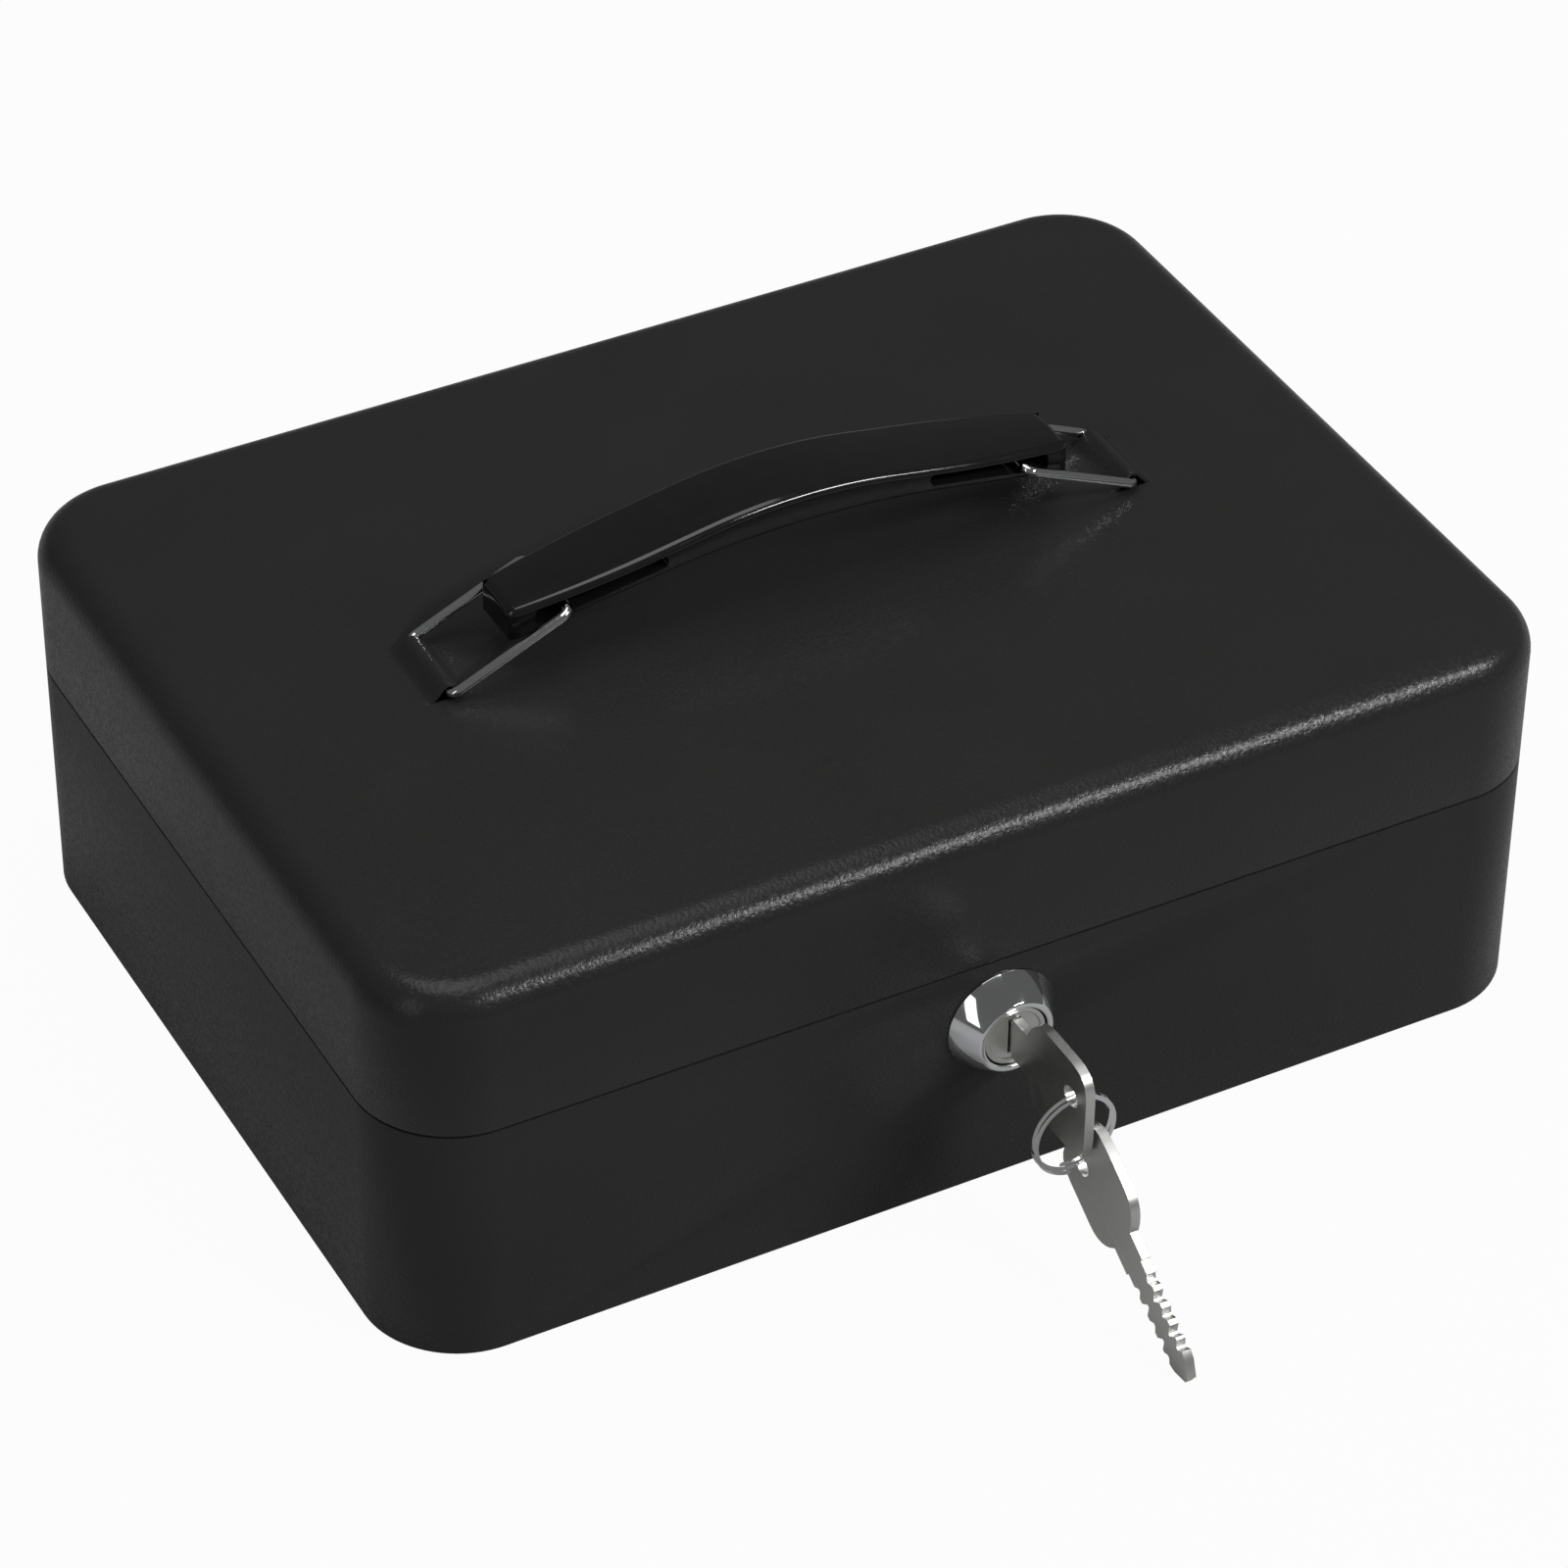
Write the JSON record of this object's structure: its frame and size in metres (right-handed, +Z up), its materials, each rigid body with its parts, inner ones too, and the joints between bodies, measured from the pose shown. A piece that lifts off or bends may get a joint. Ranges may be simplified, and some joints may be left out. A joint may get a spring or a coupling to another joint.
{
  "type": "cash box",
  "caption": "Black steel cash box with rounded corners, hinged lid, drop handle on wire bails, cam lock with key ring and a lift-out coin tray.",
  "frame": {"origin": "centre of the case's underside, on the surface that it stands on", "axes": "+X to the right along the front, -Y out of the lock face, +Z up"},
  "size_m": [0.25, 0.2547, 0.1091],
  "materials": {
    "powder_coat": "black satin powder coat with a fine grain on 0.8 mm sheet steel",
    "zinc_plate": "bright zinc plate",
    "chrome": "polished chrome plate",
    "nickel": "satin nickel plate",
    "grip_plastic": "glossy black moulded plastic",
    "tray_plastic": "matte black moulded plastic"
  },
  "bodies": {
    "case": {"case_band": "powder_coat", "case_floor": "powder_coat", "tray_rest_left": "powder_coat", "tray_rest_right": "powder_coat", "hinge_case_leaf_left": "powder_coat", "hinge_case_leaf_right": "powder_coat", "hinge_pin_left": "zinc_plate", "hinge_pin_right": "zinc_plate", "lock_housing": "chrome", "lock_nut": "zinc_plate"},
    "lid": {"lid_shell": "powder_coat", "lid_strike": "zinc_plate", "hinge_lid_leaf_left": "powder_coat", "hinge_lid_leaf_right": "powder_coat"},
    "handle_grip": {"grip": "grip_plastic"},
    "bail_left": {"bail_left": "chrome"},
    "bail_right": {"bail_right": "chrome"},
    "lock": {"lock_plug": "nickel", "lock_cam": "zinc_plate", "cam_screw": "zinc_plate"},
    "key": {"lock_key": "nickel"},
    "ring": {"key_ring": "chrome"},
    "spare_key": {"spare_key": "nickel"},
    "tray": {"coin_tray": "tray_plastic"}
  },
  "joints": [
    {"name": "lid_hinge", "type": "hinge", "parent": "case", "child": "lid", "pos_m": [0, 0.09315, 0.0538], "axis": [-1, 0, 0], "range_deg": [0, 100]},
    {"name": "grip_lift", "type": "slide", "parent": "lid", "child": "handle_grip", "axis": [0, 0, 1], "range_m": [-0.0063, 0.007]},
    {"name": "bail_left_swing", "type": "hinge", "parent": "lid", "child": "bail_left", "pos_m": [-0.075, 0, 0.0874], "axis": [0, -1, 0], "range_deg": [-13.2, 14.6]},
    {"name": "bail_right_swing", "type": "hinge", "parent": "lid", "child": "bail_right", "pos_m": [0.075, 0, 0.0874], "axis": [0, 1, 0], "range_deg": [-13.2, 14.6]},
    {"name": "lock_turn", "type": "hinge", "parent": "case", "child": "lock", "pos_m": [0, -0.09075, 0.0389], "axis": [0, 1, 0], "range_deg": [0, 90]},
    {"name": "key_pull", "type": "slide", "parent": "lock", "child": "key", "axis": [0, -1, 0], "range_m": [0, 0.028]},
    {"name": "ring_swing", "type": "hinge", "parent": "key", "child": "ring", "pos_m": [0, -0.11845, 0.04072], "axis": [-1, 0, 0], "range_deg": [0, 75]},
    {"name": "spare_key_swing", "type": "hinge", "parent": "ring", "child": "spare_key", "pos_m": [0.0028, -0.11845, 0.02399], "axis": [-1, 0, 0], "range_deg": [0, 55]},
    {"name": "tray_lift", "type": "slide", "parent": "case", "child": "tray", "axis": [0, 0, 1], "range_m": [0, 0.03]}
  ],
  "couplings": [
    {"joint": "bail_left_swing", "follows": "grip_lift", "rad_per_m": 36},
    {"joint": "bail_right_swing", "follows": "grip_lift", "rad_per_m": 36}
  ]
}
